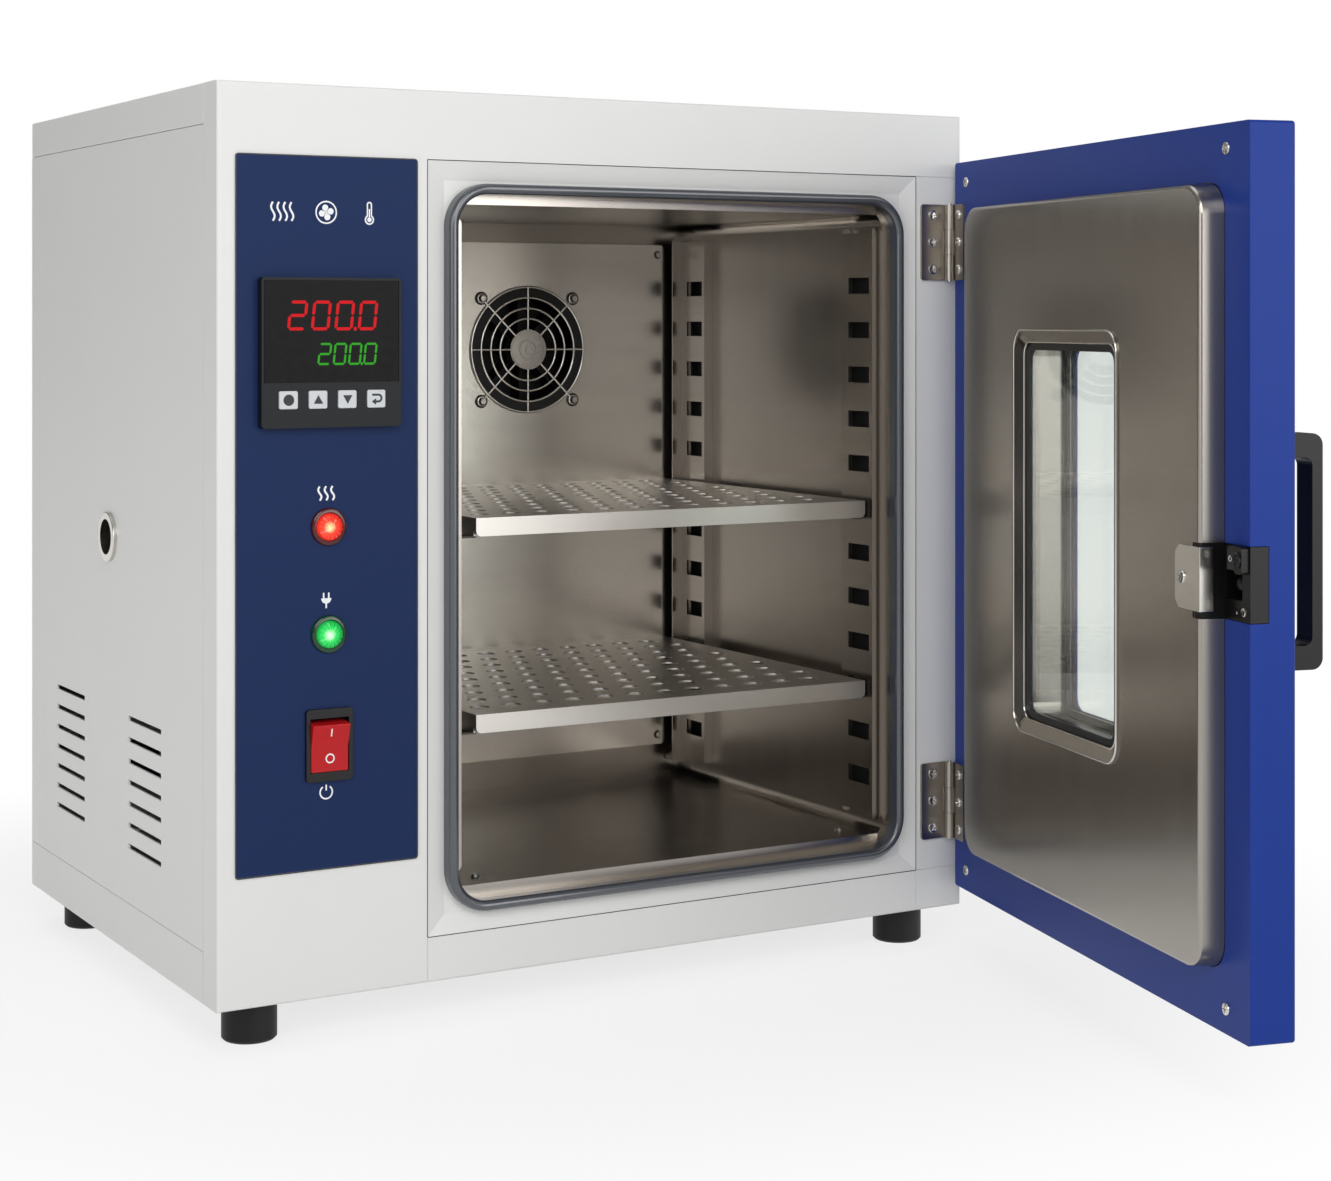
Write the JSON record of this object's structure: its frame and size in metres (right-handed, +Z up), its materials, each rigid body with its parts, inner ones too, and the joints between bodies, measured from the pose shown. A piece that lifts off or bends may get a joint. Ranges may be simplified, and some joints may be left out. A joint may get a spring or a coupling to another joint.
{
  "type": "bench hot-air sterilizer",
  "caption": "Bench hot-air oven with a side-hinged windowed door, perforated shelves in a stainless chamber and a control panel beside it.",
  "frame": {"origin": "centre of the cabinet's footprint on the bench, level with the feet's undersides", "axes": "+Z up, +Y to the back (the door and controls face -Y), +X to the right, where the door is hinged"},
  "size_m": [0.6024, 0.845, 0.615],
  "materials": {
    "cabinet_enamel": "fine satin powder coat, off white",
    "panel_enamel": "satin powder coat, navy",
    "door_enamel": "satin powder coat, blue",
    "brushed_stainless": "brushed",
    "plated_steel": "zinc plated",
    "screw_steel": "polished stainless",
    "silicone": "satin silicone rubber, dark blue grey",
    "foot_rubber": "matt black rubber",
    "mineral_wool": "matt mineral wool",
    "black_plastic": "fine matt black",
    "controller_plastic": "fine matt dark grey",
    "display_tint": "glossy dark tint",
    "key_plastic": "matt light grey",
    "red_lens": "glossy translucent red",
    "green_lens": "glossy translucent green",
    "lamp_bezel": "polished",
    "rocker_plastic": "glossy red",
    "clear_glass": "clear tempered, faint green",
    "cast_aluminium": "as cast",
    "heater_sheath": "heat tinted"
  },
  "bodies": {
    "cabinet": {"front_fascia": "cabinet_enamel", "door_surround": "cabinet_enamel", "left_side_panel": "cabinet_enamel", "right_side_panel": "cabinet_enamel", "rear_panel": "cabinet_enamel", "top_cover": "cabinet_enamel", "base_pan": "cabinet_enamel", "control_panel": "panel_enamel", "chamber_front_frame": "brushed_stainless", "inner_chamber": "brushed_stainless", "fan_housing": "brushed_stainless", "rear_baffle_plate": "brushed_stainless", "left_shelf_rails": "brushed_stainless", "right_shelf_rails": "brushed_stainless", "shelf_clips": "brushed_stainless", "port_liner": "brushed_stainless", "temperature_probe": "brushed_stainless", "fan_guard": "brushed_stainless", "divider_panel": "plated_steel", "upper_hinge_frame_leaf": "plated_steel", "lower_hinge_frame_leaf": "plated_steel", "foot_bolts": "plated_steel", "chamber_screws": "screw_steel", "frame_hinge_screws": "screw_steel", "hinge_pins": "screw_steel", "door_gasket": "silicone", "feet": "foot_rubber", "chamber_insulation": "mineral_wool", "switch_body": "black_plastic", "power_inlet": "black_plastic", "heater_relay": "black_plastic", "controller_case": "controller_plastic", "controller_window": "display_tint", "heater_lamp_lens": "red_lens", "mains_lamp_lens": "green_lens", "lamp_bodies": "lamp_bezel", "fan_motor": "cast_aluminium", "heater_element": "heater_sheath"},
    "door": {"upper_hinge_door_leaf": "plated_steel", "lower_hinge_door_leaf": "plated_steel", "door_outer_shell": "door_enamel", "door_liner": "brushed_stainless", "door_insulation": "mineral_wool", "window_frame": "brushed_stainless", "inner_window_pane": "clear_glass", "outer_window_pane": "clear_glass", "window_seals": "silicone", "door_handle": "black_plastic", "latch_body": "black_plastic", "latch_plate": "brushed_stainless", "door_screws": "screw_steel"},
    "upper_shelf": {"upper_shelf": "brushed_stainless"},
    "lower_shelf": {"lower_shelf": "brushed_stainless"},
    "circle_key": {"circle_key": "key_plastic"},
    "up_key": {"up_key": "key_plastic"},
    "down_key": {"down_key": "key_plastic"},
    "return_key": {"return_key": "key_plastic"},
    "power_rocker": {"power_rocker": "rocker_plastic"},
    "fan_impeller": {"fan_impeller": "cast_aluminium"},
    "latch_ball": {"latch_ball": "screw_steel"}
  },
  "joints": [
    {"name": "door_hinge", "type": "hinge", "parent": "cabinet", "child": "door", "pos_m": [0.277, -0.211, 0.3145], "axis": [0, 0, 1], "range_deg": [-76.4, 28.6]},
    {"name": "upper_shelf_slide", "type": "slide", "parent": "cabinet", "child": "upper_shelf", "axis": [0, -1, 0], "range_m": [0, 0.2]},
    {"name": "lower_shelf_slide", "type": "slide", "parent": "cabinet", "child": "lower_shelf", "axis": [0, -1, 0], "range_m": [0, 0.2]},
    {"name": "circle_key_press", "type": "slide", "parent": "cabinet", "child": "circle_key", "axis": [0, 1, 0], "range_m": [0, 0.0008], "stiffness_N_per_m": 800},
    {"name": "up_key_press", "type": "slide", "parent": "cabinet", "child": "up_key", "axis": [0, 1, 0], "range_m": [0, 0.0008], "stiffness_N_per_m": 800},
    {"name": "down_key_press", "type": "slide", "parent": "cabinet", "child": "down_key", "axis": [0, 1, 0], "range_m": [0, 0.0008], "stiffness_N_per_m": 800},
    {"name": "return_key_press", "type": "slide", "parent": "cabinet", "child": "return_key", "axis": [0, 1, 0], "range_m": [0, 0.0008], "stiffness_N_per_m": 800},
    {"name": "power_rocker_tilt", "type": "hinge", "parent": "cabinet", "child": "power_rocker", "pos_m": [-0.2155, -0.2, 0.191], "axis": [1, 0, 0], "range_deg": [-16, 0]},
    {"name": "fan_spin", "type": "hinge", "parent": "cabinet", "child": "fan_impeller", "pos_m": [0.0815, 0.118, 0.4395], "axis": [0, 1, 0], "continuous": true},
    {"name": "latch_ball_press", "type": "slide", "parent": "door", "child": "latch_ball", "axis": [0.972, -0.2351, 0], "range_m": [0, 0.003], "stiffness_N_per_m": 1500}
  ]
}
